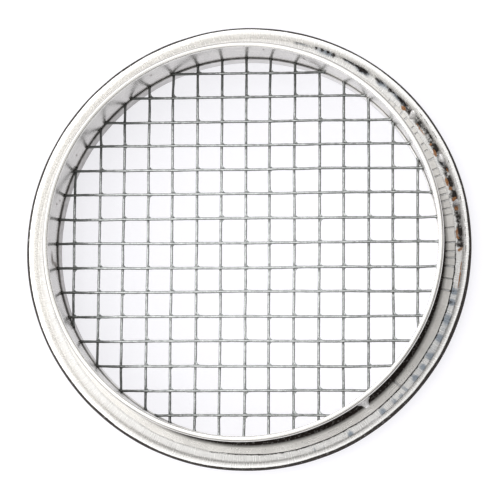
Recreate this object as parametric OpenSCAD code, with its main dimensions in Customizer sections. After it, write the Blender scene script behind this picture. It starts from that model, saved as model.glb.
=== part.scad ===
// Round soil sieve: a sheet-metal collar with a turned-out foot, a dished ring
// with a rolled rim round it, and a square welded wire mesh across the bore.
// Millimetres. The origin is on the sieve's axis in the plane it rests on, +Z up.

/* [Sheet] */
// Thickness of the collar and ring sheet
sheet_t = 0.6; // [0.4:0.05:0.7]
// Facets of every full turn
turn_facets = 180; // [60:20:240]

/* [Collar] */
// Radius of the collar's bore
bore_r = 99; // [97:0.5:110]
// Height of the collar's rolled hem centre above the mesh
hem_rise = 23.8; // [12:0.2:60]
// Radius of the rolled hem
hem_r = 1.45; // [1.3:0.05:2.2]
// Inside radius of the bend from the collar wall to its foot
foot_bend_r = 2.1; // [1.5:0.1:3]
// Width of the flat foot that is turned out, outside the bend
foot_w = 5.2; // [3:0.2:8]

/* [Dished ring] */
// Width of the ring's flat floor between the collar's foot and the bend
ring_floor_w = 3.05; // [0.4:0.05:6]
// Radius of the bend where the ring rises, at the middle of the sheet
dish_r = 1.6; // [1:0.05:4.5]
// Radius of the rolled rim
rim_r = 2.1; // [1.8:0.05:3]
// Height of the rolled rim's centre
rim_z = 7.4; // [6:0.1:12]

/* [Mesh] */
// Distance between wires, centre to centre
mesh_pitch = 12.7; // [12:0.1:13]
// Diameter of a coated mesh wire
wire_d = 1.35; // [1:0.05:1.6]
// Wires in each direction
wire_count = 15; // [9:2:15]
// Height of the mesh, where its two layers of wire meet
mesh_z = 11; // [9:0.5:16]
// How far the middle wire lies from the axis, along X
mesh_shift_x = -0.7; // [-2:0.1:2]
// How far the middle wire lies from the axis, along Y
mesh_shift_y = 1.5; // [-2:0.1:2]

/* [Solder] */
// Direction of the collar's lap seam
seam_angle = -53; // [-180:1:180]
// Width of the solder along the seam
seam_w = 6.5; // [3:0.5:12]
// Width of the solder that ran down into the corner over the foot
seam_pool_w = 8.6; // [4:0.2:12]
// How far that solder reaches out over the foot, from the end of the bend
seam_pool_reach = 1.6; // [0.4:0.1:3]
// Radius of a solder tack between the foot and the rolled rim
tack_r = 2.6; // [1.5:0.1:3]
// Direction of the first solder tack
tack_1_angle = 12; // [0:0.5:20]
// Direction of the second solder tack
tack_2_angle = 24.5; // [20:0.5:30]
// Direction of the third solder tack
tack_3_angle = 39; // [30:0.5:60]

/* [Hidden] */
clearance = 0.05;
layer_gap = 0.01;
seam_t = 0.5;
seam_margin = 0.6;
seam_pool_tip_w = 1.8;
tack_angles = [tack_1_angle, tack_2_angle, tack_3_angle];
tack_sweep = 10;

collar_outer_r = bore_r + sheet_t;
hem_centre_r = bore_r + hem_r;
hem_z = mesh_z + hem_rise;
foot_z = sheet_t;
bend_centre_r = collar_outer_r + foot_bend_r;
bend_centre_z = foot_z + sheet_t + foot_bend_r;
foot_outer_r = bend_centre_r + foot_w;
foot_top_z = foot_z + sheet_t;

dish_outer_bend_r = dish_r + sheet_t / 2;
dish_inner_bend_r = dish_r - sheet_t / 2;
dish_centre_r = foot_outer_r + ring_floor_w;
dish_centre_z = dish_outer_bend_r;
lip_inner_r = dish_centre_r + dish_inner_bend_r;
rim_centre_r = lip_inner_r + rim_r;
ring_inner_r = bore_r + 2 * clearance;

wire_r = wire_d / 2;
hoop_outer_r = bore_r - clearance;
hoop_h = mesh_z - wire_d - 2 * layer_gap;
mesh_r = bore_r - 2 * clearance;

function two_digits(n) = n < 10 ? str("0", n) : str(n);
function line_name(i) = str("line_wire_", two_digits(i + 1));
function cross_name(i) = str("cross_wire_", two_digits(i + 1));
function wire_offset(i, shift) = (i - (wire_count - 1) / 2) * mesh_pitch + shift;
// Half the length of a wire whose nearer or farther edge must stay in the bore
function half_chord(offset) = sqrt(pow(mesh_r, 2) - pow(abs(offset) + wire_r, 2));

// A tube's section with a quarter left open, where the rolled edge comes back to the sheet
module rolled_edge(outer_r) {
    open = 2 * outer_r;
    difference() {
        circle(r = outer_r, $fn = 64);
        circle(r = outer_r - sheet_t, $fn = 64);
        translate([-open, -open]) square([open - outer_r * 0.3, open]);
    }
}

// A quarter of a sheet's bend, in the quadrant that signs point to
module sheet_bend(inside_r, side) {
    outside_r = inside_r + sheet_t;
    intersection() {
        difference() {
            circle(r = outside_r, $fn = 96);
            circle(r = inside_r, $fn = 96);
        }
        translate([side > 0 ? 0 : -outside_r, -outside_r]) square(outside_r);
    }
}

module collar_section() {
    translate([hem_centre_r, hem_z]) rolled_edge(hem_r);
    translate([bore_r, bend_centre_z]) square([sheet_t, hem_z - bend_centre_z]);
    translate([bend_centre_r, bend_centre_z]) sheet_bend(foot_bend_r, -1);
    translate([bend_centre_r, foot_z]) square([foot_w, sheet_t]);
}

module ring_section() {
    translate([ring_inner_r, 0]) square([dish_centre_r - ring_inner_r, sheet_t]);
    translate([dish_centre_r, dish_centre_z]) sheet_bend(dish_inner_bend_r, 1);
    translate([lip_inner_r, dish_centre_z]) square([sheet_t, rim_z - dish_centre_z]);
    translate([rim_centre_r, rim_z]) rolled_edge(rim_r);
}

module ring_wire(centre_r, centre_z, r) {
    rotate_extrude($fn = turn_facets)
        translate([centre_r, centre_z]) circle(r = r, $fn = 32);
}

module collar() {
    color("gainsboro") rotate_extrude($fn = turn_facets) collar_section();
}

module collar_hem_wire() {
    color("darkgray") ring_wire(hem_centre_r, hem_z, hem_r - sheet_t - clearance);
}

// Solder run up the outside of the wall, from the foot's bend to the hem
// Section of the solder in the corner between the wall, the bend and the foot
module seam_pool_section() {
    top_z = bend_centre_z + seam_margin + 1;
    difference() {
        polygon([[collar_outer_r + clearance, foot_top_z + clearance],
                 [collar_outer_r + clearance, top_z],
                 [collar_outer_r + seam_t, top_z],
                 [bend_centre_r + seam_pool_reach, foot_top_z + clearance]]);
        difference() {
            translate([collar_outer_r, foot_top_z])
                square(foot_bend_r);
            translate([bend_centre_r, bend_centre_z])
                circle(r = foot_bend_r - clearance, $fn = 96);
        }
    }
}

module seam_pool() {
    sweep = 8;
    outer_r = bend_centre_r + seam_pool_reach;
    intersection() {
        rotate([0, 0, -sweep / 2])
            rotate_extrude(angle = sweep, $fn = turn_facets)
                seam_pool_section();
        linear_extrude(height = hem_z)
            polygon([[collar_outer_r - 1, -seam_pool_w / 2],
                     [collar_outer_r - 1, seam_pool_w / 2],
                     [outer_r, seam_pool_tip_w / 2],
                     [outer_r, -seam_pool_tip_w / 2]]);
    }
}

module collar_seam_solder() {
    sweep = seam_w / collar_outer_r * 180 / PI;
    run_h = hem_z - hem_r - bend_centre_z - 2 * seam_margin;
    color("lightgray") {
        rotate([0, 0, seam_angle - sweep / 2])
            rotate_extrude(angle = sweep, $fn = turn_facets)
                translate([collar_outer_r, bend_centre_z + seam_margin])
                    square([seam_t, run_h]);
        rotate([0, 0, seam_angle])
            seam_pool();
    }
}

module dished_ring() {
    color("silver") rotate_extrude($fn = turn_facets) ring_section();
}

module rim_wire() {
    color("darkgray") ring_wire(rim_centre_r, rim_z, rim_r - sheet_t - clearance);
}

// Inner hoop that the mesh rests on
module mesh_hoop() {
    color("darkgray")
        rotate_extrude($fn = turn_facets)
            translate([hoop_outer_r - sheet_t, 0]) square([sheet_t, hoop_h]);
}

// The space above the ring's floor and inside its lip, with its lower corner cut off
module trough_section() {
    reach = dish_inner_bend_r - clearance;
    floor_z = sheet_t + clearance;
    translate([dish_centre_r, 0])
        polygon([[-tack_r, floor_z], [0, floor_z], [reach, dish_centre_z],
                 [reach, rim_z], [-tack_r, rim_z]]);
}

// Drops of solder that lie in the ring's trough against its lip
module solder_tacks() {
    color("whitesmoke")
        for (angle = tack_angles)
            rotate([0, 0, angle])
                intersection() {
                    translate([lip_inner_r - tack_r / 2, 0, dish_centre_z])
                        sphere(r = tack_r, $fn = 48);
                    rotate([0, 0, -tack_sweep / 2])
                        rotate_extrude(angle = tack_sweep, $fn = turn_facets)
                            trough_section();
                }
}

// Lower layer: wires along Y, side by side along X
module line_wire(i) {
    x = wire_offset(i, mesh_shift_x);
    half = half_chord(x);
    color("darkseagreen")
        translate([x, half, mesh_z - wire_r - layer_gap])
            rotate([90, 0, 0]) cylinder(r = wire_r, h = 2 * half, $fn = 24);
}

// Upper layer: wires along X, side by side along Y
module cross_wire(i) {
    y = wire_offset(i, mesh_shift_y);
    half = half_chord(y);
    color("darkseagreen")
        translate([-half, y, mesh_z + wire_r + layer_gap])
            rotate([0, 90, 0]) cylinder(r = wire_r, h = 2 * half, $fn = 24);
}

collar();
collar_hem_wire();
collar_seam_solder();
dished_ring();
rim_wire();
mesh_hoop();
solder_tacks();
for (i = [0 : wire_count - 1]) line_wire(i);
for (i = [0 : wire_count - 1]) cross_wire(i);
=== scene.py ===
"""Soil sieve: the looks of its sheet, mesh wires, solder and tarnish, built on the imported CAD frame."""
import math
import random

import bpy
import numpy as np
from mathutils import Matrix, Vector


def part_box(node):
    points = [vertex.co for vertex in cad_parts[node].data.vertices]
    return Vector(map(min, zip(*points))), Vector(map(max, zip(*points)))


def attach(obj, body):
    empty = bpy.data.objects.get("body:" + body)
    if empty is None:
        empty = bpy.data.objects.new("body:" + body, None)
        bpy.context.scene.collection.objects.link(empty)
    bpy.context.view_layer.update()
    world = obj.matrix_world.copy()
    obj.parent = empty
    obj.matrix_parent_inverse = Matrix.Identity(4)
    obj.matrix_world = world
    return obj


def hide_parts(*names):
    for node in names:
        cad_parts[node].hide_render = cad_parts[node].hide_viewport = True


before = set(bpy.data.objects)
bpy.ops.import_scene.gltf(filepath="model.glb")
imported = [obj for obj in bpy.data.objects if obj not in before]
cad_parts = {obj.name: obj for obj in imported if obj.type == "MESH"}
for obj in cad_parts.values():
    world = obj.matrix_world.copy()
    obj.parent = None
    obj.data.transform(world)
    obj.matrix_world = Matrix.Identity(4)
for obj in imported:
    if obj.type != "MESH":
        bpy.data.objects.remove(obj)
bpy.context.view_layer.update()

# ---------- sizes, in metres
MM = 0.001
SHEET = 0.6 * MM
COLLAR_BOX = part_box("collar")
RING_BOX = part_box("dished_ring")
HOOP_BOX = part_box("mesh_hoop")
HEM_WIRE_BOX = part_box("collar_hem_wire")
RIM_WIRE_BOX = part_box("rim_wire")
SEAM_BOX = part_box("collar_seam_solder")

HEM_Z = (HEM_WIRE_BOX[0].z + HEM_WIRE_BOX[1].z) / 2
HEM_R = COLLAR_BOX[1].z - HEM_Z
HEM_CENTRE_R = HEM_WIRE_BOX[1].x - (HEM_WIRE_BOX[1].z - HEM_Z)
BORE_R = HEM_CENTRE_R - HEM_R
FOOT_BEND_R = 2.4 * MM
BEND_CENTRE_R = BORE_R + SHEET / 2 + FOOT_BEND_R
FOOT_MID_Z = 1.5 * SHEET
BEND_CENTRE_Z = FOOT_MID_Z + FOOT_BEND_R
FOOT_OUTER_R = COLLAR_BOX[1].x

RIM_Z = (RIM_WIRE_BOX[0].z + RIM_WIRE_BOX[1].z) / 2
RIM_R = RING_BOX[1].z - RIM_Z
RIM_CENTRE_R = RING_BOX[1].x - RIM_R
DISH_R = 1.6 * MM
DISH_CENTRE_R = RIM_CENTRE_R - RIM_R + SHEET / 2 - DISH_R
DISH_CENTRE_Z = DISH_R + SHEET / 2
LIP_INNER_R = DISH_CENTRE_R + DISH_R - SHEET / 2
RING_INNER_R = BORE_R + 0.1 * MM

HOOP_H = HOOP_BOX[1].z
HOOP_MID_R = HOOP_BOX[1].x - SHEET / 2
CURL_END = -100.0  # where a rolled edge's sheet ends, in degrees round its wire from outward


# ---------- smooth fields
def ring_noise(angle, cycles, seed, rows=1, v=0.0):
    """Random values from -1 to 1, smooth and periodic round the circle, in rows for v from 0 up."""
    table = np.random.RandomState(seed).uniform(-1.0, 1.0, (rows + 1, cycles))
    u = (np.asarray(angle, float) / 360.0 % 1.0) * cycles
    v = np.clip(np.asarray(v, float), 0.0, rows - 1e-6)
    column = np.floor(u).astype(int)
    row = np.floor(v).astype(int)
    fu = u - column
    fv = v - row
    fu = fu * fu * (3 - 2 * fu)
    fv = fv * fv * (3 - 2 * fv)
    left, right = column % cycles, (column + 1) % cycles
    low = table[row, left] * (1 - fu) + table[row, right] * fu
    high = table[row + 1, left] * (1 - fu) + table[row + 1, right] * fu
    return low * (1 - fv) + high * fv


def line_noise(t, step, seed):
    """Random values from -1 to 1, smooth along a line, one new value every step."""
    table = np.random.RandomState(seed).uniform(-1.0, 1.0, 2048)
    u = np.asarray(t, float) / step + 900.0
    cell = np.floor(u).astype(int)
    f = u - cell
    f = f * f * (3 - 2 * f)
    return table[cell % 2048] * (1 - f) + table[(cell + 1) % 2048] * f


def smooth_step(value, low, high):
    t = np.clip((np.asarray(value, float) - low) / (high - low), 0.0, 1.0)
    return t * t * (3 - 2 * t)


def hump(value, middle, width):
    """A soft hump, 1 at the middle."""
    return np.exp(-(((value - middle) / width) ** 2))


def off_angle(angle, middle):
    """How far an angle is from the middle, from -180 to 180 degrees."""
    return (angle - middle + 180.0) % 360.0 - 180.0


def sector(angle, start, end, soft=6.0):
    """1 in the stretch from start to end, in degrees round the circle, and 0 outside, with soft ends."""
    half = (end - start) / 2.0
    off = np.abs(off_angle(np.asarray(angle, float), (start + end) / 2.0))
    return 1.0 - smooth_step(off, half - soft / 2, half + soft / 2)


# ---------- mesh helpers
def place_object(name, data):
    obj = bpy.data.objects.new(name, data)
    bpy.context.scene.collection.objects.link(obj)
    return obj


def make_object(name, verts, faces, material, node):
    mesh = bpy.data.meshes.new(name)
    mesh.from_pydata([tuple(v) for v in verts], [], [tuple(f) for f in faces])
    mesh.validate()
    mesh.polygons.foreach_set("use_smooth", [True] * len(mesh.polygons))
    mesh.update()
    obj = place_object(name, mesh)
    mesh.materials.append(material)
    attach(obj, "root")
    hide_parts(node)
    return obj


def arc(centre_r, centre_z, radius, start, end, count):
    """Points round a centre in the section's plane, angles in degrees from outward, upward positive."""
    a = np.radians(np.linspace(start, end, count))
    return np.stack([centre_r + radius * np.cos(a), centre_z + radius * np.sin(a)], axis=1)


def sheet_loops(lines, thickness):
    """The closed outline of a sheet whose middle follows each line of [stations, points, (r, z)]."""
    tangent = np.gradient(lines, axis=1)
    tangent /= np.linalg.norm(tangent, axis=2, keepdims=True)
    normal = np.stack([-tangent[..., 1], tangent[..., 0]], axis=2)
    side_a = lines + normal * thickness / 2
    side_b = lines - normal * thickness / 2
    return np.concatenate([side_a, side_b[:, ::-1]], axis=1)


def ring_faces(stations, points, cut, cut_points):
    """Quads round a ring of closed sections. Where cut is true, its first cut_points are left out."""
    faces = []
    last = points - 1
    for s in range(stations):
        n = (s + 1) % stations
        here, there = s * points, n * points
        slit = cut is not None and cut[s]
        for i in range(points):
            j = (i + 1) % points
            in_cut = min(i, last - i) < cut_points or min(j, last - j) < cut_points
            if slit and in_cut:
                continue
            faces.append((here + i, here + j, there + j, there + i))
        if slit:
            k = cut_points
            faces.append((here + last - k, here + k, there + k, there + last - k))
            for i in range(k):
                faces.append((here + i, here + i + 1, here + last - i - 1, here + last - i))
                faces.append((there + last - i, there + last - i - 1, there + i + 1, there + i))
    return faces


def tube_faces(rings, sides):
    """Quads of a tube of rings of points, with both of its ends closed."""
    faces = []
    for s in range(rings - 1):
        for k in range(sides):
            n = (k + 1) % sides
            faces.append((s * sides + k, s * sides + n, (s + 1) * sides + n, (s + 1) * sides + k))
    faces.append(tuple(range(sides))[::-1])
    faces.append(tuple((rings - 1) * sides + k for k in range(sides)))
    return faces


def make_spun(name, loops, angles, material, node, cut=None):
    """A sheet of one closed section at each angle, in degrees, with its foot open where cut is true."""
    a = np.radians(angles)[:, None]
    verts = np.stack([loops[..., 0] * np.cos(a), loops[..., 0] * np.sin(a), loops[..., 1]], axis=2)
    faces = ring_faces(*loops.shape[:2], cut, FOOT_POINTS - 1)
    return make_object(name, verts.reshape(-1, 3), faces, material, node)


def line_lengths(lines):
    """How far each point lies along its line: lines is [stations, points, (r, z)]."""
    run = np.zeros(lines.shape[:2])
    run[:, 1:] = np.cumsum(np.linalg.norm(np.diff(lines, axis=1), axis=2), axis=1)
    return run


def lay_out(obj, loops, angles, radius):
    """Maps a spun sheet: the way round at one radius, then the way along its outline, in metres."""
    around = np.repeat(np.radians(angles - angles[0])[:, None] * radius, loops.shape[1], axis=1)
    set_uv(obj, np.stack([around, line_lengths(loops)], axis=2).reshape(-1, 2))


def set_uv(obj, uv_of_vertex):
    """Lays the mesh out along the sheet, in metres, with no wrap across the seam."""
    layer = obj.data.uv_layers.new(name="sheet_uv")

    def read(items, name):
        values = np.zeros(len(items), int)
        items.foreach_get(name, values)
        return values

    uv = uv_of_vertex[read(obj.data.loops, "vertex_index")].copy()
    starts = read(obj.data.polygons, "loop_start")
    totals = read(obj.data.polygons, "loop_total")
    turn = uv_of_vertex[:, 0].max() - uv_of_vertex[:, 0].min()
    quads = starts[totals == 4]
    index = quads[:, None] + np.arange(4)[None, :]
    u = uv[index, 0]
    wrapped = (u.max(axis=1) - u.min(axis=1)) > turn / 2
    u[wrapped] = np.where(u[wrapped] < turn / 2, u[wrapped] + turn, u[wrapped])
    uv[index, 0] = u
    layer.data.foreach_set("uv", uv.astype(np.float32).ravel())


def set_stain_and_shade(obj, values):
    """Three amounts of dirt, tarnish and painted shade at each vertex, read by the materials."""
    layer = obj.data.color_attributes.new(name="stain_and_shade", type="FLOAT_COLOR", domain="POINT")
    rgba = np.ones((len(obj.data.vertices), 4), np.float32)
    rgba[:, :3] = np.reshape(values, (-1, 3))
    layer.data.foreach_set("color", rgba.ravel())


# ---------- material helpers
class Nodes:
    """A short way to build the nodes of a material or a world."""

    def __init__(self, owner, shader="Principled BSDF"):
        owner.use_nodes = True
        self.owner = owner
        self.tree = owner.node_tree
        self.shader = self.tree.nodes[shader]

    def add(self, kind, inputs=None, **settings):
        node = self.tree.nodes.new(kind)
        for key, value in settings.items():
            setattr(node, key, value)
        self.feed_all(node, inputs or {})
        return node

    def feed(self, target, value):
        """Links another node's output to an input, or sets the input to a plain value."""
        if hasattr(value, "is_output"):
            self.tree.links.new(value, target)
        else:
            target.default_value = value

    def feed_all(self, node, inputs):
        for name, value in inputs.items():
            self.feed(node.inputs[name], value)

    def coordinates(self, kind="Object", scale=(1, 1, 1)):
        if kind == "Object":
            source = self.add("ShaderNodeTexCoord").outputs["Object"]
        else:
            source = self.add("ShaderNodeUVMap", uv_map=kind).outputs["UV"]
        return self.add("ShaderNodeMapping", {"Vector": source, "Scale": scale}).outputs["Vector"]

    def noise(self, vector, scale, detail=4.0, rough=0.55, distortion=0.0):
        inputs = {"Vector": vector, "Scale": scale, "Detail": detail, "Roughness": rough}
        return self.add("ShaderNodeTexNoise", inputs | {"Distortion": distortion}).outputs["Fac"]

    def spread(self, value, from_low, from_high, to_low=0.0, to_high=1.0, smooth=True):
        inputs = {"Value": value, "From Min": from_low, "From Max": from_high}
        inputs |= {"To Min": to_low, "To Max": to_high}
        kind = "SMOOTHSTEP" if smooth else "LINEAR"
        return self.add("ShaderNodeMapRange", inputs, interpolation_type=kind).outputs["Result"]

    def math(self, operation, a, b):
        return self.add("ShaderNodeMath", {0: a, 1: b}, operation=operation).outputs["Value"]

    def times(self, a, b):
        return self.math("MULTIPLY", a, b)

    def plus(self, a, b):
        return self.math("ADD", a, b)

    def blend(self, amount, a, b):
        node = self.add("ShaderNodeMix", {"Factor": amount}, data_type="RGBA")
        for key, value in (("A", a), ("B", b)):
            socket = [s for s in node.inputs if s.name == key and s.type == "RGBA"][0]
            self.feed(socket, value)
        return [s for s in node.outputs if s.type == "RGBA"][0]

    def bump(self, height, strength, distance, normal=None):
        inputs = {"Strength": strength, "Distance": distance, "Height": height}
        if normal is not None:
            inputs["Normal"] = normal
        return self.add("ShaderNodeBump", inputs).outputs["Normal"]

    def uneven(self, vector, scale, detail, low, high):
        """A value that wanders between low and high."""
        return self.spread(self.noise(vector, scale, detail), 0.3, 0.7, low, high)

    def lumps(self, vector, scale, detail, strength, distance):
        return self.bump(self.noise(vector, scale, detail), strength, distance)

    def surface(self, tone, metallic, rough, normal):
        """Feeds the shader's main inputs and returns the finished material."""
        inputs = {"Base Color": tone, "Metallic": metallic, "Roughness": rough, "Normal": normal}
        self.feed_all(self.shader, inputs)
        return self.owner


def new_material(name):
    return Nodes(bpy.data.materials.new(name))


def zinc_colours(nodes, vector, light, dark, scale):
    """The soft cloudy change of tone of a zinc coat."""
    cloud = nodes.spread(nodes.noise(vector, scale, 5.0, 0.6), 0.3, 0.7)
    return nodes.blend(cloud, dark, light)


def stain_and_shade_channels(n):
    """The three painted amounts: red, green and blue outputs."""
    painted = n.add("ShaderNodeVertexColor", layer_name="stain_and_shade").outputs["Color"]
    return n.add("ShaderNodeSeparateColor", {"Color": painted}).outputs


FOOT_SKIN_Z = (1.3 * MM, 3.6 * MM)  # where the foot's dull skin gives way to the wall's


def collar_material():
    """Smooth bright sheet: faint lengthwise scratches, smudges, a dull outside, and painted shade in the
    slits, at the foot's cut edge, on one side of the outer wall and on the hem.
    """
    n = new_material("collar_sheet")
    skin = n.coordinates()
    along = n.coordinates("sheet_uv", (60.0, 900.0, 1.0))
    tone = zinc_colours(n, skin, (0.92, 0.90, 0.87, 1), (0.85, 0.835, 0.81, 1), 45.0)
    stain_and_shade = stain_and_shade_channels(n)
    grain = n.noise(skin, 900.0, 3.0)
    cloud = n.noise(skin, 60.0, 4.0, 0.6)
    brown = n.times(stain_and_shade["Red"], n.spread(grain, 0.25, 0.6, 0.4, 1.0))
    tone = n.blend(brown, tone, (0.13, 0.10, 0.075, 1))
    dull = n.times(stain_and_shade["Blue"], n.spread(cloud, 0.3, 0.7, 0.75, 1.0))
    tone = n.blend(dull, tone, (0.16, 0.15, 0.145, 1))
    # Painted shade from the green amount, near black.
    shade_amount = n.times(stain_and_shade["Green"], n.spread(grain, 0.2, 0.5, 0.8, 1.0))
    tone = n.blend(shade_amount, tone, (0.011, 0.007, 0.005, 1))
    scratch = n.spread(n.noise(along, 1.0, 6.0, 0.7), 0.45, 0.75)
    rough = n.spread(scratch, 0.0, 1.0, 0.13, 0.22)
    height = n.add("ShaderNodeSeparateXYZ", {"Vector": skin}).outputs["Z"]
    rough = n.plus(rough, n.spread(height, *FOOT_SKIN_Z, 0.13, 0.10))
    foot_shine = n.spread(height, *FOOT_SKIN_Z, 0.50, 0.80)
    rough = n.plus(rough, n.times(n.math("MAXIMUM", brown, shade_amount), 0.3))
    clean = n.times(n.math("SUBTRACT", 1.0, shade_amount), foot_shine)
    n.feed_all(n.shader, {"Specular IOR Level": 0.12})
    fine = n.bump(scratch, 0.06, 0.05 * MM)
    return n.surface(tone, clean, rough, n.bump(n.noise(skin, 120.0, 2.0), 0.08, 0.2 * MM, fine))


def ring_material():
    """Hammered sheet: radial streaks, blue-grey and black tarnish, rust at its edges, painted shadow
    along the collar foot's edge and a painted dark reflection down the rim's outer side.
    """
    n = new_material("ring_sheet")
    skin = n.coordinates()
    across = n.coordinates("sheet_uv", (900.0, 90.0, 1.0))
    hair = n.coordinates("sheet_uv", (2200.0, 150.0, 1.0))
    tone = zinc_colours(n, skin, (0.985, 0.98, 0.97, 1), (0.95, 0.944, 0.932, 1), 90.0)
    streak = n.spread(n.noise(across, 1.0, 2.0, 0.5), 0.45, 0.8)
    tone = n.blend(n.times(streak, 0.05), tone, (0.36, 0.38, 0.40, 1))
    stain_and_shade = stain_and_shade_channels(n)
    ragged = n.noise(skin, 520.0, 5.0, 0.65)
    fine = n.noise(skin, 1700.0, 3.0, 0.6)
    break_up = n.plus(n.times(ragged, 0.7), n.times(fine, 0.3))
    break_up = n.spread(break_up, 0.3, 0.7, 0.12, 0.88, False)
    hairs = n.times(n.noise(hair, 1.0, 4.0, 0.7), 0.7)
    drawn = n.plus(n.times(break_up, 0.3), hairs)

    def patch(channel, uneven, low, high):
        return n.spread(n.plus(stain_and_shade[channel], uneven), low, high)

    blue = patch("Blue", drawn, 0.84, 1.52)
    black = patch("Green", break_up, 0.84, 1.36)
    rust = patch("Red", break_up, 0.86, 1.20)
    tone = n.blend(n.times(blue, 0.85), tone, (0.25, 0.31, 0.385, 1))
    # Near black for the black amount: black tarnish in the trough, and also the painted shadow along the
    # foot's edge and the painted dark reflection down the rim's outer side.
    soot_and_shade = n.blend(n.spread(fine, 0.35, 0.75), (0.006, 0.005, 0.005, 1), (0.044, 0.031, 0.024, 1))
    tone = n.blend(n.times(black, 0.97), tone, soot_and_shade)
    red = n.blend(n.spread(fine, 0.35, 0.65), (0.30, 0.10, 0.035, 1), (0.64, 0.35, 0.17, 1))
    tone = n.blend(n.times(rust, 0.92), tone, red)
    dull = n.math("MAXIMUM", n.times(black, 0.98), n.times(rust, 0.95))
    n.feed_all(n.shader, {"Specular IOR Level": n.spread(dull, 0.0, 1.0, 0.40, 0.04, False)})
    rough = n.plus(n.spread(streak, 0.0, 1.0, 0.26, 0.34), n.times(dull, 0.35))
    pits = n.bump(n.times(fine, dull), 0.5, 0.15 * MM)
    normal = n.bump(n.noise(across, 0.3, 2.0), 0.04, 0.12 * MM, pits)
    return n.surface(tone, n.spread(dull, 0.0, 1.0, 0.30, 0.0, False), rough, normal)


def zinc_wire_material():
    """Hot-dip zinc on the mesh wires: lumpy, with painted dark reflections down the flanks, and painted
    shade near the wall and beside the crossings.
    """
    n = new_material("mesh_zinc")
    skin = n.coordinates()
    tone = zinc_colours(n, skin, (0.66, 0.68, 0.68, 1), (0.44, 0.46, 0.46, 1), 420.0)
    stain_and_shade = stain_and_shade_channels(n)
    lumps = n.noise(skin, 700.0, 4.0, 0.6)
    # Painted shade and dark reflections from the red amount, darkening towards near black.
    flank = n.spread(n.plus(stain_and_shade["Red"], n.times(lumps, 0.7)), 0.55, 1.15)
    tone = n.blend(n.times(flank, 0.90), tone, (0.062, 0.066, 0.062, 1))
    freckle = n.spread(n.noise(skin, 1800.0, 3.0), 0.56, 0.72)
    tone = n.blend(n.times(freckle, 0.5), tone, (0.10, 0.10, 0.09, 1))
    tone = n.blend(stain_and_shade["Green"], tone, (0.02, 0.018, 0.015, 1))
    normal = n.bump(n.noise(skin, 650.0, 4.0, 0.6), 0.45, 0.12 * MM)
    return n.surface(tone, 0.92, n.uneven(skin, 700.0, 4.0, 0.24, 0.40), normal)


def hoop_material():
    """Dull zinc on the hoop under the mesh, darker on one side, with painted shade along its top edge and
    at its foot.
    """
    n = new_material("hoop_sheet")
    skin = n.coordinates()
    tone = zinc_colours(n, skin, (0.86, 0.85, 0.84, 1), (0.74, 0.73, 0.72, 1), 90.0)
    stain_and_shade = stain_and_shade_channels(n)
    grain = n.spread(n.noise(skin, 380.0, 4.0), 0.25, 0.65, 0.7, 1.0)
    tone = n.blend(n.times(stain_and_shade["Red"], grain), tone, (0.12, 0.105, 0.095, 1))
    tone = n.blend(n.times(stain_and_shade["Green"], grain), tone, (0.02, 0.017, 0.015, 1))
    rough = n.uneven(skin, 300.0, 4.0, 0.30, 0.45)
    return n.surface(tone, 1.0, rough, n.lumps(skin, 500.0, 4.0, 0.3, 0.1 * MM))


def plain_metal(name, light, dark, cloud, metallic, rough, lumps):
    n = new_material(name)
    skin = n.coordinates()
    tone = zinc_colours(n, skin, light, dark, cloud)
    return n.surface(tone, metallic, n.uneven(skin, *rough), n.lumps(skin, *lumps))


def solder_material():
    """Bright solder, flowed smooth, with a slightly frosted skin."""
    return plain_metal("solder", (0.98, 0.975, 0.98, 1), (0.91, 0.90, 0.93, 1), 300.0, 0.4,
                       (800.0, 3.0, 0.22, 0.40), (600.0, 3.0, 0.3, 0.1 * MM))


def core_wire_material():
    """Plain drawn wire, rolled up inside the sheet's edges."""
    return plain_metal("core_wire", (0.45, 0.44, 0.42, 1), (0.28, 0.26, 0.24, 1), 150.0, 1.0,
                       (600.0, 4.0, 0.35, 0.5), (900.0, 3.0, 0.2, 0.05 * MM))


FLOOR_GLOW = 0.70


def floor_material():
    """Matt white paper, lit a little from below like a photographer's table."""
    n = new_material("floor_paper")
    skin = n.coordinates()
    tone = zinc_colours(n, skin, (0.385, 0.383, 0.400, 1), (0.375, 0.373, 0.390, 1), 2.0)
    n.feed_all(n.shader, {"Base Color": tone, "Roughness": 0.9, "Specular IOR Level": 0.0})
    n.feed_all(n.shader, {"Emission Color": (0.97, 0.965, 1.0, 1), "Emission Strength": FLOOR_GLOW})
    return n.owner


# ---------- the collar
TAB_SEED = 11
TONE_SEED = 77
TAB_WIDTH = (1.6, 4.3)  # narrowest and widest tab, in degrees
SLIT_WIDTH = (0.30, 0.62)
TAB_PLACES = np.array([0.0, 0.03, 0.2, 0.4, 0.6, 0.8, 0.97, 1.0])  # stations across one tab
FOOT_STEPS = np.array([1.0, 0.985, 0.8, 0.6, 0.4, 0.2])  # points from the cut edge in to the bend
FOOT_POINTS = len(FOOT_STEPS)
SLIT_SECTOR = (-14.0, 47.0)  # where the tabs' slits stand open, in degrees round the foot
LONE_SLIT = -44.0
# The side whose outer wall and hem carry painted shade, in degrees round the ring.
SHADED_SIDE = (-125.0, 22.0)
WALL_ROWS = 24

# Marks inside the wall: direction in degrees, height, half width and half height in mm, amount
WALL_MARKS = (
    (-174.4, 17.0, 1.3, 6.0, 1.0), (-175.6, 24.0, 3.0, 2.6, 0.9), (-172.6, 15.0, 2.2, 2.4, 0.6),
    (69.0, 25.0, 2.6, 2.2, 0.5), (72.0, 27.0, 0.8, 1.6, 0.9),
    (168.0, 24.0, 0.5, 1.6, 0.8), (166.5, 19.0, 0.5, 1.6, 0.8), (119.0, 28.0, 0.5, 1.6, 0.8),
    (84.0, 30.0, 0.5, 1.6, 0.8), (152.0, 21.0, 0.5, 1.6, 0.8),
)


def foot_wave(angles):
    """How far the foot's hand-cut edge wanders in and out."""
    wave = 0.38 * ring_noise(angles, 31, 3) + 0.22 * ring_noise(angles, 83, 4)
    return (wave + 0.10 * ring_noise(angles, 190, 5) - 0.25) * MM


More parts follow.
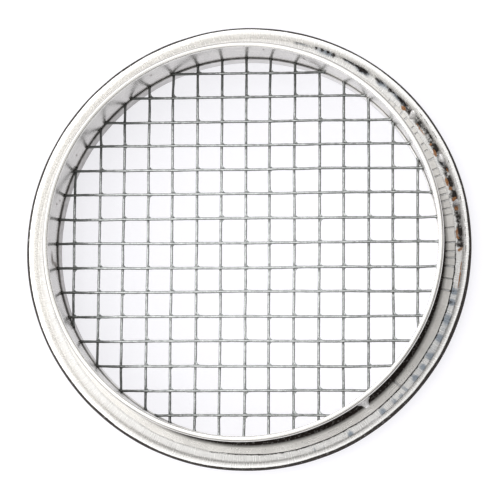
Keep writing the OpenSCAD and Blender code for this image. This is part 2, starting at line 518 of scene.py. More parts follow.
def tabs():
    """Station angles round the foot, the tab that each belongs to, and which gaps are slits."""
    rng = random.Random(TAB_SEED)
    widths = []
    while sum(widths) < 360.0 - TAB_WIDTH[0]:
        widths.append(rng.uniform(*TAB_WIDTH))
    widths = np.array(widths) * 360.0 / sum(widths)
    angles, tab, place, slit = [], [], [], []
    start = 180.0
    for k, width in enumerate(widths):
        lone = abs(start + width - 360.0 - LONE_SLIT) < width / 2
        open_here = rng.random() < 0.97 * float(sector(start + width, *SLIT_SECTOR)) or lone
        gap = rng.uniform(*SLIT_WIDTH) if open_here else 0.02
        for part in TAB_PLACES:
            angles.append(start + (width - gap) * part)
            tab.append(k)
            place.append(part - 0.5)
            slit.append(open_here and part == 1.0)
        start += width
    return np.array(angles), np.array(tab), np.array(place), np.array(slit)


def collar_lines(angles, tab, place):
    """The collar's section at every station, from the foot's cut edge to the end of the hem's curl."""
    rng = np.random.RandomState(TAB_SEED)
    count = tab.max() + 1
    loose = sector(angles, SLIT_SECTOR[0], SLIT_SECTOR[1], 20.0)
    lift = rng.uniform(0.0, 0.14, count) * MM
    tilt = rng.uniform(-0.07, 0.07, count) * MM
    reach = rng.uniform(-0.25, 0.20, count) * MM
    outer = FOOT_OUTER_R + foot_wave(angles) + reach[tab] * (0.10 + 0.90 * loose)
    outer = np.minimum(outer, DISH_CENTRE_R + 0.1 * MM)
    oval = 0.10 * MM * ring_noise(angles, 5, 8) + 0.04 * MM * ring_noise(angles, 17, 9)

    bend = arc(BEND_CENTRE_R, BEND_CENTRE_Z, FOOT_BEND_R, -90, -180, 9)
    wall_r = BORE_R + SHEET / 2
    wall_z = np.linspace(BEND_CENTRE_Z, HEM_Z, WALL_ROWS + 2)[1:-1]
    wall = np.stack([np.full(WALL_ROWS, wall_r), wall_z], axis=1)
    curl = arc(HEM_CENTRE_R, HEM_Z, HEM_R - SHEET / 2, 180, CURL_END, 30)
    fixed = np.concatenate([bend, wall, curl])
    lines = np.zeros((len(angles), FOOT_POINTS + len(fixed), 2))
    lines[:, :FOOT_POINTS, 0] = BEND_CENTRE_R + (outer - BEND_CENTRE_R)[:, None] * FOOT_STEPS
    dent = 0.05 * MM * ring_noise(angles, 61, 6) + 0.04 * MM
    rise = (lift[tab] + tilt[tab] * place * 2) * loose + dent * (1.0 - loose)
    lines[:, :FOOT_POINTS, 1] = FOOT_MID_Z + np.maximum(rise, 0.0)[:, None] * FOOT_STEPS ** 1.5
    lines[:, FOOT_POINTS:] = fixed
    height = smooth_step(lines[:, FOOT_POINTS:, 1], BEND_CENTRE_Z, 0.5 * HEM_Z)
    lines[:, FOOT_POINTS:, 0] += oval[:, None] * height
    return lines


def collar_stain_and_shade(angles, tab, place, slit_edge, loops):
    """Brown, black and dull amounts: marks on the wall, and painted shade in the slits, at the cut edges,
    in the outer corner and on the hem.
    """
    a = angles[:, None]
    r, z = loops[..., 0], loops[..., 1]
    points = loops.shape[1]
    inside = r < BORE_R + 0.4 * SHEET
    brown = np.zeros(loops.shape[:2])
    for angle, height, wide, tall, amount in WALL_MARKS:
        off = np.radians(off_angle(a, angle)) * BORE_R
        brown += amount * hump(off, 0.0, wide * MM) * hump(z, height * MM, tall * MM)
    brown = np.clip(1.3 * brown, 0, 1) * inside
    painted_shade = np.zeros(loops.shape[:2])
    foot = np.minimum(np.arange(points), points - 1 - np.arange(points)) < FOOT_POINTS
    tab_tone = np.random.RandomState(TONE_SEED).uniform(0.0, 0.20, tab.max() + 1)[tab]
    tab_tone = 0.5 * tab_tone * sector(angles, -130.0, 60.0, 50.0)
    brown[:, foot] += (tab_tone + 0.09 * sector(angles, -36.0, 50.0, 30.0))[:, None]
    # Painted shade: near black in the slits between the tabs and along the foot's cut edges.
    painted_shade[:, foot] = 0.85 * (slit_edge * (np.abs(place) > 0.49))[:, None]
    painted_shade[:, [0, points - 1]] = 0.8
    outer_skin = np.broadcast_to(np.arange(points) >= points // 2, painted_shade.shape)
    # Painted shade down the outer wall on one side, strongest near its foot.
    shady = sector(a, *SHADED_SIDE, 36.0)
    wall = outer_skin * (1.0 - smooth_step(r, BEND_CENTRE_R + 0.5 * MM, BEND_CENTRE_R + 1.5 * MM))
    corner = 0.18 + 0.82 * (1.0 - smooth_step(z, 6.5 * MM, 12.0 * MM))
    painted_shade = np.maximum(painted_shade, corner * shady * wall)
    # Painted dark reflections on the hem: a line along its crease and on its outer limb.
    curl = np.degrees(np.arctan2(z - HEM_Z, r - HEM_CENTRE_R))
    on_hem = ~outer_skin & (r > HEM_CENTRE_R - 0.5 * HEM_R) & (z > HEM_Z - 1.2 * HEM_R)
    crease_shade = np.minimum(0.82 + 0.16 * ring_noise(a, 47, 48) + 0.1 * shady, 0.97)
    crease = hump(curl, 54.0, 13.0) * crease_shade
    far_side = sector(a, 30.0, 230.0, 70.0)
    limb = 1.0 - smooth_step(curl - 11.0 * far_side, 2.0, 24.0)
    limb = limb * (0.50 + 0.14 * far_side + 0.45 * shady)
    painted_shade = np.maximum(painted_shade, on_hem * np.maximum(crease, limb))
    dull = (0.33 * inside) * smooth_step(z, BEND_CENTRE_Z - 1.0 * MM, BEND_CENTRE_Z + 1.0 * MM)
    dull = dull * (1.0 - smooth_step(z, HEM_Z - HEM_R, HEM_Z + 0.3 * MM))
    return np.stack([brown, painted_shade, dull], axis=-1)


def make_collar(material):
    angles, tab, place, slit = tabs()
    loops = sheet_loops(collar_lines(angles, tab, place), SHEET)
    collar = make_spun("collar_sheet", loops, angles, material, "collar", slit)
    lay_out(collar, loops, angles, BORE_R)
    slit_edge = slit | np.roll(slit, 1)
    set_stain_and_shade(collar, collar_stain_and_shade(angles, tab, place, slit_edge, loops))


# ---------- the dished ring
RING_STATIONS = 1260
MARK_SEED = 21
MARK_PITCH = 4.6  # between two hammer marks of a row, in degrees
MARK_ROWS = ((1.6 * MM, 1.2 * MM), (3.8 * MM, 1.3 * MM), (6.5 * MM, 1.8 * MM))  # place and half height
FLOOR_RADII = np.array([RING_INNER_R, FOOT_OUTER_R - 1.6 * MM, FOOT_OUTER_R - 0.5 * MM])


def hammer_marks(angles, run):
    """Dents of the hammering, in metres along the sheet's normal. Run is the way across the trough."""
    rng = np.random.RandomState(MARK_SEED)
    marks = int(360 / MARK_PITCH)
    depth = np.zeros(np.broadcast(angles, run).shape)
    for row, (middle, tall) in enumerate(MARK_ROWS):
        for k in range(marks):
            angle = (k + 0.5 * row + rng.uniform(-0.3, 0.3)) * 360.0 / marks
            wide = rng.uniform(0.9, 1.6)
            amount = rng.uniform(-0.07, 0.09) * MM
            shift = rng.uniform(-0.4, 0.4) * MM
            depth += amount * hump(off_angle(angles, angle), 0.0, wide) * hump(run - shift, middle, tall)
    return depth + 0.008 * MM * ring_noise(angles, 310, 5) * hump(run, 4 * MM, 3 * MM)


def ring_line():
    """The ring's section, how far each point is across the trough, how far the rim's skin leans outward
    there, and the first point of the rim."""
    floor_r = np.concatenate([FLOOR_RADII, np.linspace(FOOT_OUTER_R, DISH_CENTRE_R, 12)[:-1]])
    floor = np.stack([floor_r, np.full(len(floor_r), SHEET / 2)], axis=1)
    bend = arc(DISH_CENTRE_R, DISH_CENTRE_Z, DISH_R, -90, 0, 12)
    lip_z = np.linspace(DISH_CENTRE_Z, RIM_Z, 9)[1:-1]
    lip = np.stack([np.full(len(lip_z), DISH_CENTRE_R + DISH_R), lip_z], axis=1)
    turns = [np.linspace(180, 125, 6), np.linspace(120, 25, 28), np.linspace(15, CURL_END, 11)]
    turns = np.concatenate(turns)
    way = np.stack([np.cos(np.radians(turns)), np.sin(np.radians(turns))], axis=1)
    curl = np.array([RIM_CENTRE_R, RIM_Z]) + (RIM_R - SHEET / 2) * way
    line = np.concatenate([floor, bend, lip, curl])
    run = line_lengths(line[None])[0] - (FOOT_OUTER_R - RING_INNER_R)
    rim_start = len(line) - len(turns)
    lean = np.concatenate([np.full(rim_start, -90.0), 90.0 - turns])
    return line, run, lean, rim_start


def make_ring(material):
    angles = np.linspace(180.0, 540.0, RING_STATIONS, endpoint=False)
    line, run, lean, rim_start = ring_line()
    lines = np.repeat(line[None], RING_STATIONS, axis=0)
    tangent = np.gradient(line, axis=0)
    tangent /= np.linalg.norm(tangent, axis=1, keepdims=True)
    normal = np.stack([-tangent[:, 1], tangent[:, 0]], axis=1)
    a = angles[:, None]
    point = np.arange(len(line))
    in_trough = (run > 0.1 * MM) & (point < rim_start)
    depth = (hammer_marks(a, run[None, :]) + 0.06 * MM) * in_trough
    low = np.maximum(line[:, 1] - SHEET / 2, 0.0)[None, :]
    depth = np.maximum(depth, -0.6 * low)
    lines = lines + normal[None] * depth[..., None]
    in_rim = (point >= rim_start).astype(float)
    long_wave, short_wave, lift = (ring_noise(a, *kind) - 1.0 for kind in ((23, 31), (71, 32), (13, 33)))
    lines[..., 0] += (0.07 * MM * long_wave + 0.05 * MM * short_wave) * in_rim
    lines[..., 1] += 0.10 * MM * lift * in_rim
    loops = sheet_loops(lines, SHEET)
    ring = make_spun("ring_sheet", loops, angles, material, "dished_ring")
    lay_out(ring, loops, angles, RIM_CENTRE_R)

    def both_sides(values):
        return np.concatenate([values, values[::-1]])[None, :]

    top_side = np.concatenate([np.ones(len(line)), np.zeros(len(line))])[None, :]
    set_stain_and_shade(ring, ring_stain_and_shade(a, both_sides(run), top_side, both_sides(in_rim), both_sides(lean)))


# Tarnish in the trough: direction and half width in degrees, place and half height in mm, amount
BLUE_SPOTS = (
    (-82.0, 0.3, 2.6, 1.4, 0.6), (-71.5, 0.5, 3.2, 1.5, 0.8), (-69.0, 0.4, 3.0, 1.5, 0.6),
    (-61.0, 0.9, 3.0, 1.8, 1.0), (-57.5, 0.4, 3.6, 1.0, 0.5), (-54.5, 1.2, 3.4, 0.8, 0.4),
    (-50.5, 0.9, 3.0, 1.8, 0.9), (-46.5, 0.7, 3.0, 1.8, 0.7), (-44.0, 0.7, 3.6, 1.2, 0.6),
    (-42.0, 0.5, 2.8, 1.8, 0.6), (-38.0, 0.8, 3.0, 1.8, 0.9), (-34.5, 0.7, 2.8, 1.8, 0.6),
    (-31.0, 0.8, 2.8, 1.8, 0.8), (-25.5, 0.9, 2.6, 1.8, 0.7), (-20.0, 1.2, 2.6, 1.8, 0.6),
    (-15.2, 0.7, 1.6, 1.2, 0.9), (-12.2, 0.7, 1.4, 1.2, 0.9), (24.5, 2.2, 2.2, 1.4, 0.7),
    (45.0, 4.5, 3.4, 1.3, 0.9), (51.0, 2.2, 3.4, 1.6, 1.0), (58.0, 3.2, 3.6, 1.8, 1.0),
    (62.0, 2.2, 4.2, 1.2, 0.9), (69.0, 3.6, 4.0, 1.9, 1.0), (76.0, 3.0, 4.8, 1.2, 0.8),
    (84.0, 0.6, 6.5, 1.2, 0.6), (90.0, 0.5, 7.0, 1.0, 0.6), (97.0, 0.6, 7.0, 1.0, 0.5),
)
BLACK_SPOTS = (
    (-15.2, 0.4, 1.4, 0.8, 0.6), (-12.2, 0.4, 1.3, 0.7, 0.6), (0.8, 1.0, 2.5, 1.2, 0.8),
    (4.6, 1.3, 2.5, 1.1, 0.95), (8.8, 1.4, 2.6, 0.9, 0.8), (14.0, 1.1, 2.5, 1.2, 1.0),
    (18.2, 1.4, 2.7, 1.0, 0.95), (21.6, 1.0, 2.8, 1.0, 0.85), (24.4, 1.2, 2.2, 0.8, 0.7),
    (28.0, 1.3, 3.0, 1.1, 0.85), (32.0, 2.4, 3.6, 0.9, 0.7), (36.0, 2.2, 3.8, 0.9, 0.7),
    (43.5, 2.4, 3.8, 0.9, 0.9), (48.0, 1.6, 3.9, 0.7, 0.8), (52.0, 1.2, 4.2, 0.9, 0.85),
    (58.0, 1.8, 4.4, 1.2, 0.95), (62.5, 1.6, 4.8, 0.7, 0.85), (66.6, 0.35, 5.2, 1.3, 0.95),
    (68.2, 0.4, 5.6, 1.4, 1.0), (69.9, 0.4, 5.6, 1.4, 1.0), (71.6, 0.35, 5.4, 1.3, 0.95),
    (76.5, 1.4, 5.8, 0.5, 0.8),
)
RUST_SPOTS = (
    (-8.0, 3.6, 3.4, 0.35, 0.8), (-9.0, 3.0, 1.7, 0.25, 0.6), (-0.6, 0.45, 2.7, 1.2, 0.9),
    (2.8, 0.5, 1.3, 0.7, 0.8), (4.2, 0.9, 1.2, 0.5, 0.9), (10.6, 0.5, 2.8, 0.9, 1.0),
    (13.2, 0.45, 2.6, 1.1, 1.0), (16.2, 0.4, 2.2, 0.9, 0.8), (18.2, 1.1, 1.3, 0.6, 1.0),
    (21.0, 0.7, 3.9, 0.4, 0.8), (27.0, 0.9, 1.4, 0.6, 0.9), (29.6, 0.3, 1.8, 0.7, 0.7),
    (34.5, 2.0, 1.6, 0.5, 0.7), (42.2, 0.6, 1.8, 0.7, 1.0),
)
CLEAN_SPOTS = ((-7.2, 3.4, 2.3, 0.5, 1.0), (-1.5, 0.9, 4.6, 0.8, 1.0))


def spots(angles, run, kinds, wider=1.4, taller=1.4):
    """The strongest of a list of soft spots at every place, each spread wider and taller than listed."""
    amount = np.zeros(np.broadcast(angles, run).shape)
    for angle, wide, middle, tall, strength in kinds:
        off = off_angle(angles, angle)
        reach = np.hypot(off / (wider * wide), (run / MM - middle) / (taller * tall))
        amount = np.maximum(amount, strength * (1.0 - smooth_step(reach, 0.10, 1.35)))
    return amount


def ring_stain_and_shade(angles, run, top_side, rim, lean):
    """How much rust, black and blue tarnish lies on the ring, with painted shadow and a painted dark
    reflection in the black amount. Run is the way across the trough, rim is 1 on the rolled rim, and lean
    is how far the rim's skin leans outward there, in degrees from level."""
    trough = top_side * (1.0 - rim)
    small = ring_noise(angles, 230, 42, 5, run / (2.5 * MM))
    clean = 1.0 - spots(angles, run, CLEAN_SPOTS)
    rust = 0.95 * spots(angles, run, RUST_SPOTS, 1.8, 1.9) * trough * clean
    stained = sector(angles, -95.0, 100.0, 30.0)
    haze = 0.74 * sector(angles, -1.0, 44.0, 6.0) * hump(run, 2.5 * MM, 2.0 * MM)
    haze = haze * (1.0 + 0.2 * ring_noise(angles, 170, 47))
    haze = haze + 0.52 * sector(angles, 42.0, 80.0, 8.0) * hump(run, 4.0 * MM, 1.0 * MM)
    black = 1.02 * spots(angles, run - 0.4 * MM, BLACK_SPOTS, 2.1, 3.0) + 0.10 * small * stained
    black = np.maximum(black, haze) * trough * clean
    film = 0.34 * sector(angles, -46.0, 2.0, 30.0) + 0.20 * sector(angles, -66.0, 46.0, 50.0)
    film = film * (1.0 - smooth_step(run, 5 * MM, 8 * MM))
    blue = 0.90 * spots(angles, run - 0.3 * MM, BLUE_SPOTS, 1.35, 1.8) + film + 0.10 * small * stained
    blue = blue * trough * clean

    # Painted shadow along the collar foot's wavy cut edge, strongest from -100 to 2 degrees.
    off_edge = run - foot_wave(angles)
    cut_side = sector(angles, -100.0, 2.0, 24.0)
    crevice = hump(off_edge, 0.1 * MM, (0.34 + 0.38 * cut_side) * MM) * top_side
    black = np.maximum(black, (0.34 + 0.60 * cut_side) * crevice * (1.0 - rim))

    # Painted dark reflection down the rim's outer side, where its skin leans outward past a start angle
    # that changes round the ring.
    start = 26.0 - 13.0 * sector(angles, -92.0, 4.0, 50.0) - 9.0 * sector(angles, 90.0, 260.0, 70.0)
    start = start + 4.0 * ring_noise(angles, 61, 44)
    painted_shade = smooth_step(lean, start - 4.0, start + 6.0) * (1.04 + 0.12 * ring_noise(angles, 140, 45))
    dashes = 0.85 * hump(lean, -23.0, 8.0) * sector(angles, -6.0, 42.0, 4.0)
    dashes = dashes * (0.7 + 0.4 * ring_noise(angles, 400, 46))
    black = np.maximum(black, rim * np.maximum(painted_shade, dashes))
    return np.clip(np.stack([rust, black, blue], axis=-1), 0.0, 1.0)


# ---------- the hoop under the mesh
HOOP_STATIONS = 540


def make_hoop(material):
    angles = np.linspace(180.0, 540.0, HOOP_STATIONS, endpoint=False)
    middle_z = np.linspace(0.5 * MM, HOOP_H - 1.0 * MM, 7)
    z = np.concatenate([[0.0, 0.35 * MM], middle_z, [HOOP_H - 0.5 * MM, HOOP_H]])
    lines = np.zeros((HOOP_STATIONS, len(z), 2))
    lines[..., 1] = z
    lines[..., 0] = HOOP_MID_R - 0.05 * MM + (0.06 * MM * ring_noise(angles, 19, 51))[:, None]
    loops = sheet_loops(lines, SHEET)
    hoop = make_spun("hoop_sheet", loops, angles, material, "mesh_hoop")
    a = angles[:, None]
    height = loops[..., 1]
    one_side_dark = 0.18 + 0.50 * sector(a, 120.0, 215.0, 40.0) - 0.18 * sector(a, 5.0, 65.0, 40.0)
    edge = 0.10 + 0.45 * sector(a, 62.0, 215.0, 30.0) + 0.25 * sector(a, 66.0, 112.0, 20.0)
    # Painted shade along the top edge, under the mesh, strongest on the upper left.
    top = smooth_step(height, HOOP_H - 1.0 * MM, HOOP_H - 0.4 * MM) * edge
    # Painted shade at its foot, where it meets the floor.
    foot = 1.0 - smooth_step(height, 0.2 * MM, 0.5 * MM)
    stain_and_shade = np.stack([one_side_dark + 0 * height, np.maximum(top, 0.6 * foot), 0 * height], axis=-1)
    set_stain_and_shade(hoop, np.clip(stain_and_shade, 0, 1))


# ---------- the mesh
WIRE_SIDES = 12
WIRE_STEP = 0.55 * MM
WEB_STEPS = 9
WEB_SIDES = 10
WEB_SHADE = 0.27
WEB_SEED = 5
LINE_WIRES = sorted(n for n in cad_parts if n.startswith("line_wire_"))
CROSS_WIRES = sorted(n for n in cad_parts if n.startswith("cross_wire_"))


class Wire:
    """One mesh wire: it runs along one axis, and its middle wanders a little to the side."""

    def __init__(self, node, run_axis, seed):
        low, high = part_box(node)
        side_axis = 1 - run_axis
        self.node = node
        self.run_axis = run_axis
        self.seed = seed
        self.z = (low.z + high.z) / 2
        self.radius = (high.z - low.z) / 2
        self.middle = (low[side_axis] + high[side_axis]) / 2
        self.shift = random.Random(seed).uniform(-0.26, 0.26) * MM
        self.half = math.sqrt(BORE_R ** 2 - self.middle ** 2) - 0.03 * MM

    def side(self, t):
        """How far to the side the wire's middle lies at t along it."""
        t = np.asarray(t, float)
        bow = 0.22 * MM * line_noise(t, 45 * MM, self.seed + 1)
        bow = bow + 0.09 * MM * line_noise(t, 9 * MM, self.seed + 2)
        ends = 1.0 - smooth_step(np.abs(t), self.half - 12 * MM, self.half)
        return self.middle + (self.shift + bow) * ends

    def place(self, t, out, up):
        """A point at t along the wire, out to the side and up from its middle."""
        side = self.side(t) + out
        along = np.broadcast_to(t, np.shape(side))
        first, second = (along, side) if self.run_axis == 0 else (side, along)
        return np.stack([first, second, self.z + np.broadcast_to(up, np.shape(side))], axis=-1)


def wire_tube(wire, crossings, other_above):
    """Points, quads and stain and shade amounts of a lumpy coated wire, thicker at its welds and at the
    wall.
    """
    count = max(24, int(2 * wire.half / WIRE_STEP))
    t = np.linspace(-wire.half, wire.half, count)
    side = np.linspace(0.0, 2 * np.pi, WIRE_SIDES, endpoint=False)
    radius = np.ones((count, WIRE_SIDES))
    radius += 0.055 * line_noise(t, 2.6 * MM, wire.seed + 3)[:, None]
    radius += 0.035 * line_noise(t, 0.9 * MM, wire.seed + 4)[:, None]
    for k in range(WIRE_SIDES):
        near = [0.5 * line_noise(t, 1.7 * MM, wire.seed + i + k) for i in (10, 11)]
        radius[:, k] += 0.05 * (near[0] + near[1])
    facing = np.clip(np.sin(side) * (1.0 if other_above else -1.0), 0.0, 1.0)
    for crossing in crossings:
        radius += hump(t, crossing, 0.95 * MM)[:, None] * (0.03 + 0.15 * facing[None, :])
    from_end = wire.half - np.abs(t)
    radius += (0.55 * hump(from_end, 0.0, 0.9 * MM))[:, None]
    radius *= wire.radius
    out = radius * np.cos(side)[None, :]
    up = radius * np.sin(side)[None, :]
    verts = wire.place(t[:, None], out, up).reshape(-1, 3)
    stain_and_shade = np.zeros((count, WIRE_SIDES, 3))
    # Painted dark reflections down the flanks and underneath, none on top, which stays bright.
    stain_and_shade[..., 0] = 0.95 - 1.05 * smooth_step(np.sin(side), 0.60, 1.0)[None, :]
    place = verts.reshape(count, WIRE_SIDES, 3)
    direction = np.degrees(np.arctan2(place[..., 1], place[..., 0]))
    # Painted shade near the wall on the upper left side, where the wall keeps the light off.
    shaded = sector(direction, 75.0, 240.0, 60.0)
    stain_and_shade[..., 0] += 0.55 * shaded * (1.0 - smooth_step(from_end, 6 * MM, 24 * MM))[:, None]
    away = np.hypot(place[..., 0] + 20 * MM, place[..., 1] + 12 * MM)
    stain_and_shade[..., 0] += 0.12 + 0.36 * smooth_step(away, 25 * MM, 105 * MM)
    stain_and_shade[..., 1] = 0.9 * shaded * hump(from_end, 0.0, 1.9 * MM)[:, None]
    # Painted shadow beside each crossing, on the wire that lies under the other.
    if other_above:
        for crossing in crossings:
            beside = 0.55 * hump(np.abs(t - crossing), 1.3 * MM, 0.45 * MM)
            stain_and_shade[..., 1] = np.maximum(stain_and_shade[..., 1], beside[:, None])
    return verts, tube_faces(count, WIRE_SIDES), stain_and_shade.reshape(-1, 3)


def zinc_web(corner, sign_x, sign_y, radius, line, cross, thick):
    """A web of zinc in the corner of two wires: a flat oval swept round a concave quarter turn."""
    low, high = np.radians(-14.0), np.radians(104.0)
    verts = []
    centre = np.array([sign_x * (line.radius + radius), sign_y * (cross.radius + radius)])
    for s in range(WEB_STEPS):
        part = s / (WEB_STEPS - 1)
        phi = low + (high - low) * part
        edge = centre - radius * np.array([sign_x * math.cos(phi), sign_y * math.sin(phi)])
        inner = edge * 0.22
        middle, reach = (edge + inner) / 2, (edge - inner) / 2
        blend = float(smooth_step(part, 0.05, 0.95))
        z = line.z * (1 - blend) + cross.z * blend
        swell = thick * (0.72 + 0.28 * abs(2 * part - 1))
        for k in range(WEB_SIDES):
            turn = 2 * math.pi * k / WEB_SIDES
            flat = middle + reach * math.cos(turn)
            verts.append((corner[0] + flat[0], corner[1] + flat[1], z + swell * math.sin(turn)))
    return verts, tube_faces(WEB_STEPS, WEB_SIDES)


def webs_at(cross, rng):
    """The corners of a crossing that carry a web, with the web's radius and thickness."""
    found = []
    if rng.random() < 0.86:
        found.append((1, 1, rng.uniform(1.4, 2.6) * MM, rng.uniform(0.42, 0.6) * MM))
    chance = 0.30 if cross.middle < 35 * MM else 0.1
    if rng.random() < chance:
        found.append((1, -1, rng.uniform(0.9, 2.2) * MM, rng.uniform(0.4, 0.55) * MM))
    if rng.random() < 0.12:
        found.append((-1, 1, rng.uniform(0.5, 0.9) * MM, rng.uniform(0.35, 0.45) * MM))
    return found


def make_mesh(material):
    lines = [Wire(name, 1, 100 + 40 * i) for i, name in enumerate(LINE_WIRES)]
    crosses = [Wire(name, 0, 2100 + 40 * i) for i, name in enumerate(CROSS_WIRES)]
    rng = random.Random(WEB_SEED)
    room = BORE_R - 1.2 * MM
    for wire in lines:
        crossings = [c.middle for c in crosses if math.hypot(wire.middle, c.middle) < room]
        verts, faces, stain_and_shade = wire_tube(wire, crossings, True)
        obj = make_object("zinc_" + wire.node, verts, faces, material, wire.node)
        set_stain_and_shade(obj, np.clip(stain_and_shade, 0, 1))
    for wire in crosses:
        met = [line for line in lines if math.hypot(wire.middle, line.middle) < room]
        verts, faces, stain_and_shade = wire_tube(wire, [line.middle for line in met], False)
        verts = [tuple(v) for v in verts]
        stain_and_shade = [tuple(v) for v in stain_and_shade]
        for line in met:
            corner = (float(line.side(wire.middle)), float(wire.side(line.middle)))
            for sign_x, sign_y, radius, thick in webs_at(wire, rng):
                far = (corner[0] + sign_x * 2 * radius, corner[1] + sign_y * 2 * radius)
                if math.hypot(*far) > BORE_R - 0.6 * MM:
                    continue
                more, quads = zinc_web(corner, sign_x, sign_y, radius, line, wire, thick)
                base = len(verts)
                verts.extend(more)
                stain_and_shade.extend([(WEB_SHADE, 0.0, 0.0)] * len(more))
                faces.extend(tuple(base + i for i in f) for f in quads)
        obj = make_object("zinc_" + wire.node, verts, faces, material, wire.node)
        set_stain_and_shade(obj, np.clip(np.array(stain_and_shade), 0, 1))


# ---------- solder
SEAM_DIRECTION = math.radians(-53.0)
SEAM_WIDTH = 6.4 * MM
SEAM_GRID = (44, 18)  # rows up the seam and points across it
POOL_WIDTH = 8.4 * MM
POOL_TIP_WIDTH = 1.8 * MM
POOL_REACH = 1.55 * MM
POOL_GRID = (18, 20)
POOL_TOP = ((0.02, 1.0), (0.13, 0.74), (0.28, 0.46), (0.48, 0.24), (0.72, 0.10), (1.0, 0.01))
SINK = 0.35  # how far the pool's sides draw in toward the corner


def make_seam_solder(material):
    """Solder run up the lap seam: a thin lumpy strip outside the wall, feathered at its edges."""
    low_z = BEND_CENTRE_Z + 0.6 * MM
    high_z = SEAM_BOX[1].z
    outer = BORE_R + SHEET
    half = 0.5 * SEAM_WIDTH / outer
    rows, columns = SEAM_GRID
    verts = []
    for skin in (0, 1):
        for i in range(rows):
            z = low_z + (high_z - low_z) * i / (rows - 1)
            ragged = 1.0 - 0.16 * abs(float(line_noise(z, 3.0 * MM, 61)))
            for j in range(columns):
                part = 2 * j / (columns - 1) - 1
                angle = SEAM_DIRECTION + part * half * ragged
                ends = min(i, rows - 1 - i) / 3.0
                dome = max(0.0, 1 - part * part) ** 0.6 * min(1.0, ends)
                lump = 0.75 + 0.25 * float(line_noise(z + 7 * MM * part, 2.2 * MM, 62))
                r = outer + (0.42 * MM * dome * lump if skin else -0.1 * MM)
                verts.append((r * math.cos(angle), r * math.sin(angle), z))
    pool, quads = seam_pool(len(verts))
    faces = closed_shell(rows, columns) + quads
    make_object("seam_solder", verts + pool, faces, material, "collar_seam_solder")


def seam_pool(base):
    """Solder that ran down into the corner over the foot, from the bend's curve out to a narrow tip."""
    outer = BORE_R + SHEET
    top_z = BEND_CENTRE_Z + 2.0 * MM
    tip_r = BEND_CENTRE_R + POOL_REACH
    bend = arc(BEND_CENTRE_R, BEND_CENTRE_Z, FOOT_BEND_R - SHEET / 2 + 0.1 * MM, 180, 270, 9)
    under = np.concatenate([[[outer - 0.1 * MM, top_z]], bend, [[tip_r, 2 * SHEET - 0.1 * MM]]])
    drop = top_z - 2 * SHEET
    reach = tip_r - outer
    over = np.array(POOL_TOP) * [reach, drop] + [outer, 2 * SHEET]
    rows, columns = POOL_GRID
    verts = []
    for lines, skin in ((under, 0), (over, 1)):
        run = line_lengths(lines[None])[0]
        for i in range(rows):
            part = i / (rows - 1)
            r = float(np.interp(part * run[-1], run, lines[:, 0]))
            z = float(np.interp(part * run[-1], run, lines[:, 1]))
            half = 0.5 * (POOL_WIDTH * (1 - part) + POOL_TIP_WIDTH * part) / r
            half *= 1.0 + 0.12 * float(line_noise(part, 0.2, 63))
            for j in range(columns):
                side = 2 * j / (columns - 1) - 1
                dome = max(0.0, 1 - abs(side) ** 2.5) if skin else 0.0
                sunk_z = z - SINK * (1 - dome) * (z - 2 * SHEET) if skin else z
                sunk_r = r - SINK * (1 - dome) * (r - outer) if skin and part < 0.9 else r
                angle = SEAM_DIRECTION + side * half
                verts.append((sunk_r * math.cos(angle), sunk_r * math.sin(angle), sunk_z))
    return verts, [tuple(base + i for i in face) for face in closed_shell(rows, columns)]


def closed_shell(rows, columns):
    """Quads of two equal grids of points, one behind the other, joined along their edges."""
    faces = []
    size = rows * columns
    for i in range(rows - 1):
        for j in range(columns - 1):
            a = i * columns + j
            faces.append((a, a + columns, a + columns + 1, a + 1))
            faces.append((size + a, size + a + 1, size + a + columns + 1, size + a + columns))
    rim = list(range(columns - 1))
    rim += [i * columns + columns - 1 for i in range(rows - 1)]
    rim += [(rows - 1) * columns + j for j in range(columns - 1, 0, -1)]
    rim += [i * columns for i in range(rows - 1, 0, -1)]
    for k, a in enumerate(rim):
        b = rim[(k + 1) % len(rim)]
        faces.append((a, b, size + b, size + a))
    return faces


# Solder drops: direction in degrees, then half width, half height, thickness and middle height in mm
DROPS = ((12.0, 1.7, 3.3, 1.2, 3.7), (24.5, 2.5, 1.9, 1.4, 4.3), (39.0, 2.2, 3.6, 1.4, 4.0))


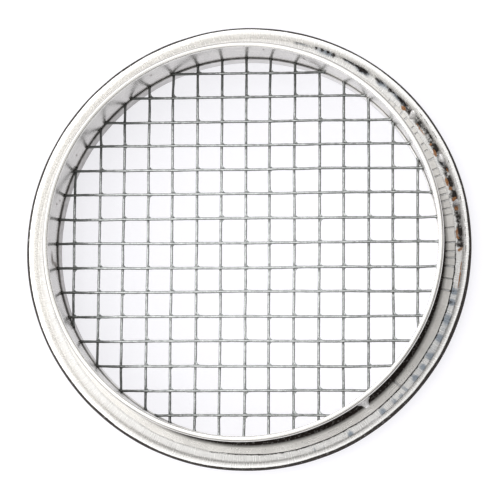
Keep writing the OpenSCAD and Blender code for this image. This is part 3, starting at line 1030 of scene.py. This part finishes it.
def make_tacks(material):
    """Drops of solder in the trough against the lip, wider at the top and drawn down to a point."""
    verts, faces = [], []
    rings, spokes = 14, 22
    buried = LIP_INNER_R + 0.2 * MM
    for number, (angle, wide, tall, thick, middle) in enumerate(DROPS):
        base = len(verts)
        out = Vector((math.cos(math.radians(angle)), math.sin(math.radians(angle)), 0.0))
        around = Vector((-out.y, out.x, 0.0))
        normal = (-out + Vector((0, 0, 0.9))).normalized()
        up = (out + Vector((0, 0, 1.1))).normalized()
        centre = out * (DISH_CENTRE_R + 0.1 * MM) + Vector((0, 0, middle * MM - 1.0 * MM))

        def skin_point(lat, lon):
            uneven = ring_noise(math.degrees(lon), 7, 70 + number, 3, 2.0 * lat / math.pi)
            lump = 1.0 + 0.14 * float(uneven)
            y = tall * lump * math.sin(lat) * math.sin(lon)
            narrow = 0.45 + 0.55 * float(smooth_step(y, -tall, 0.5 * tall))
            x = wide * lump * math.sin(lat) * math.cos(lon) * narrow
            point = centre + (around * x + up * y + normal * (thick * math.cos(lat))) * MM
            shrink = min(1.0, buried / math.hypot(point.x, point.y))
            return Vector((point.x * shrink, point.y * shrink, max(point.z, SHEET / 2)))

        for i in range(1, rings):
            for k in range(spokes):
                verts.append(tuple(skin_point(math.pi * i / rings, 2 * math.pi * k / spokes)))
        verts.append(tuple(skin_point(0.0, 0.0)))
        verts.append(tuple(skin_point(math.pi, 0.0)))
        top, bottom = len(verts) - 2, len(verts) - 1
        for k in range(spokes):
            n = (k + 1) % spokes
            faces.append((top, base + n, base + k))
            faces.append((bottom, base + (rings - 2) * spokes + k, base + (rings - 2) * spokes + n))
            for i in range(rings - 2):
                a = base + i * spokes
                faces.append((a + k, a + n, a + spokes + n, a + spokes + k))
    make_object("solder_drops", verts, faces, material, "solder_tacks")


# ---------- floor, light and camera
AIM = Vector((1.9, -2.2, 11.0)) * MM
CAMERA_AZIMUTH = -51.6
CAMERA_ELEVATION = 80.36
CAMERA_DISTANCE = 1149.0 * MM
CAMERA_ROLL = 0.4
LENS = 160.85
FLOOR_HALF = 3.0
FLOOR_Z = -0.05 * MM
SKY_LEVEL = 1.38
STAND_SIDE = (0.14, 0.02, 0.99)  # the sky's dark places, as directions from the sieve
LENS_SIDE = (0.13, -0.16, 0.98)


def make_floor():
    mesh = bpy.data.meshes.new("floor")
    turns = ((-1, -1), (1, -1), (1, 1), (-1, 1))
    corners = [(FLOOR_HALF * i, FLOOR_HALF * j, FLOOR_Z) for i, j in turns]
    mesh.from_pydata(corners, [], [(0, 1, 2, 3)])
    floor = place_object("floor", mesh)
    mesh.materials.append(floor_material())


def make_camera():
    az, el = math.radians(CAMERA_AZIMUTH), math.radians(CAMERA_ELEVATION)
    back = Vector((math.cos(az) * math.cos(el), math.sin(az) * math.cos(el), math.sin(el)))
    up = Vector((0, 1, 0)) - back * back.y
    up.normalize()
    up = Matrix.Rotation(math.radians(CAMERA_ROLL), 3, back) @ up
    right = up.cross(back)
    data = bpy.data.cameras.new("camera")
    data.lens = LENS
    data.sensor_width = 36.0
    data.clip_end = 20.0
    camera = place_object("camera", data)
    place = AIM + back * CAMERA_DISTANCE
    turn = Matrix((right, up, back)).transposed().to_4x4()
    camera.matrix_world = Matrix.Translation(place) @ turn
    bpy.context.scene.camera = camera


def make_world():
    """A wide soft light overhead, strongest from the upper left, over a dark room. A darker place lies
    round the camera, where the photographer's stand keeps the light off."""
    world = bpy.data.worlds.new("studio")
    bpy.context.scene.world = world
    n = Nodes(world, "Background")
    direction = n.add("ShaderNodeTexCoord").outputs["Generated"]
    x, y, z = n.add("ShaderNodeSeparateXYZ", {"Vector": direction}).outputs

    def near(point, full, none, amount):
        node = n.add("ShaderNodeVectorMath", {0: direction, 1: point}, operation="DISTANCE")
        return n.spread(node.outputs["Value"], full, none, amount, 0.0)

    sideways = n.plus(n.times(x, -0.80), n.times(y, 0.42))
    low_light = n.spread(x, -0.75, 0.25, 1.10, 0.12)
    room = n.math("MAXIMUM", low_light, n.spread(z, 0.18, 0.55))
    sky = n.times(n.plus(sideways, SKY_LEVEL), room)
    stand = n.times(n.spread(x, -0.12, 0.0), near(STAND_SIDE, 0.20, 0.42, 0.40))
    for shade in (stand, near(LENS_SIDE, 0.05, 0.26, 0.45)):
        sky = n.times(sky, n.math("SUBTRACT", 1.0, shade))
    n.feed_all(n.shader, {"Color": (1.0, 0.995, 0.985, 1), "Strength": sky})
    bpy.context.scene.view_settings.view_transform = "Standard"


def paint_core_wires(material):
    """The wires inside the hem and the rim keep their CAD meshes."""
    for name in ("collar_hem_wire", "rim_wire"):
        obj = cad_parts[name]
        obj.data.materials.clear()
        obj.data.materials.append(material)


make_camera()
make_world()
make_floor()
make_collar(collar_material())
make_ring(ring_material())
make_hoop(hoop_material())
make_mesh(zinc_wire_material())
SOLDER = solder_material()
make_seam_solder(SOLDER)
make_tacks(SOLDER)
paint_core_wires(core_wire_material())
